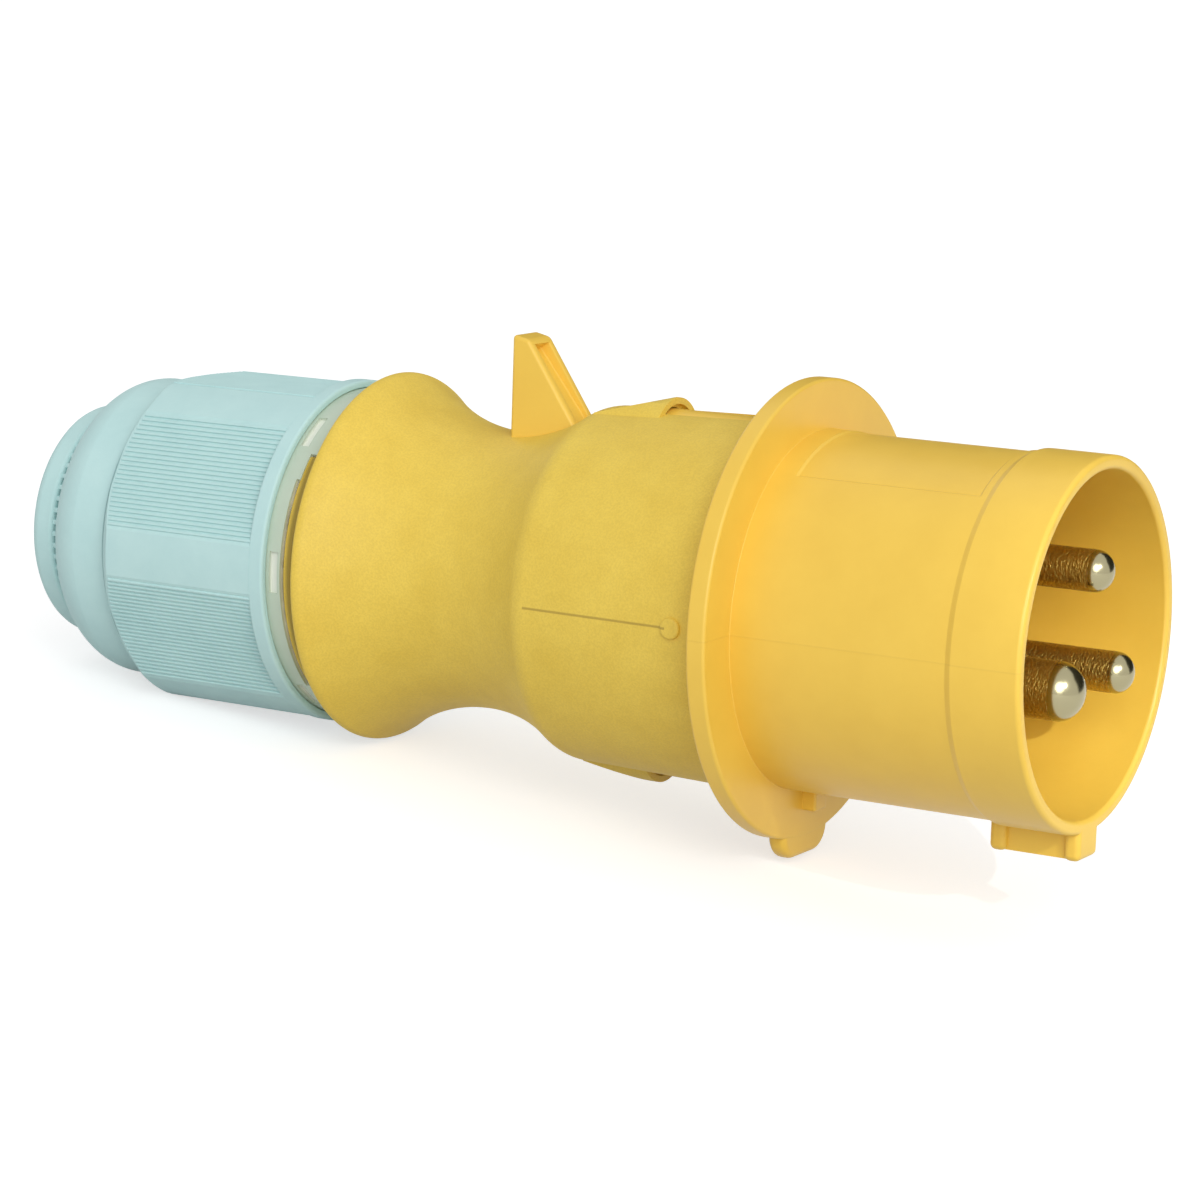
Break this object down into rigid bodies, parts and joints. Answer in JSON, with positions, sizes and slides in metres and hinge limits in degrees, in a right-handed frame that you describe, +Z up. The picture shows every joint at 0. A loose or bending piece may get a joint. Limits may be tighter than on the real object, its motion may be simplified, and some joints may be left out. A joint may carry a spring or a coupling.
{
  "type": "industrial plug",
  "caption": "Yellow industrial power plug with a round shroud, key, contact pins, waisted handle, lid catch and a pale ribbed cable gland nut.",
  "frame": {"origin": "centre of the flange's front face, on the plug's axis", "axes": "+Z up, with the plug lying on its flange lobe and its handle's bulge; +X towards the mouth, whose axis is raised by 6.7 degrees; +Y to the lower line pin's side"},
  "size_m": [0.1478, 0.056, 0.0587],
  "materials": {
    "shell_yellow": "smooth moulded polyamide",
    "handle_yellow": "fine-textured moulded polyamide",
    "catch_yellow": "smooth moulded polyamide",
    "carrier": "moulded contact carrier",
    "pin_nickel": "nickel-plated brass",
    "screw_steel": "zinc-plated steel",
    "seal_rubber": "matte rubber",
    "cage_plastic": "moulded polyamide",
    "ring_clear": "milky translucent polymer",
    "nut_grey": "matte moulded polyamide"
  },
  "bodies": {
    "plug": {"front_shell": "shell_yellow", "contact_carrier": "carrier", "retainer_plate": "carrier", "carrier_screws": "screw_steel", "line_pin_upper": "pin_nickel", "line_pin_lower": "pin_nickel", "earth_pin": "pin_nickel", "terminal_screws": "screw_steel", "body_seal": "seal_rubber", "handle": "handle_yellow", "lid_catch": "catch_yellow", "cable_seal": "seal_rubber", "clamp_cage": "cage_plastic"},
    "lock_ring": {"lock_ring": "ring_clear"},
    "gland_nut": {"gland_nut": "nut_grey"}
  },
  "joints": [
    {"name": "ring_slide", "type": "slide", "parent": "plug", "child": "lock_ring", "axis": [-0.9931, 0, -0.117], "range_m": [0, 0.006]},
    {"name": "nut_turn", "type": "hinge", "parent": "lock_ring", "child": "gland_nut", "pos_m": [-0.07945, 0, -0.00936], "axis": [-0.9931, 0, -0.117], "range_deg": [0, 720]}
  ],
  "couplings": [
    {"joint": "ring_slide", "follows": "nut_turn", "m_per_rad": 0.000477}
  ]
}
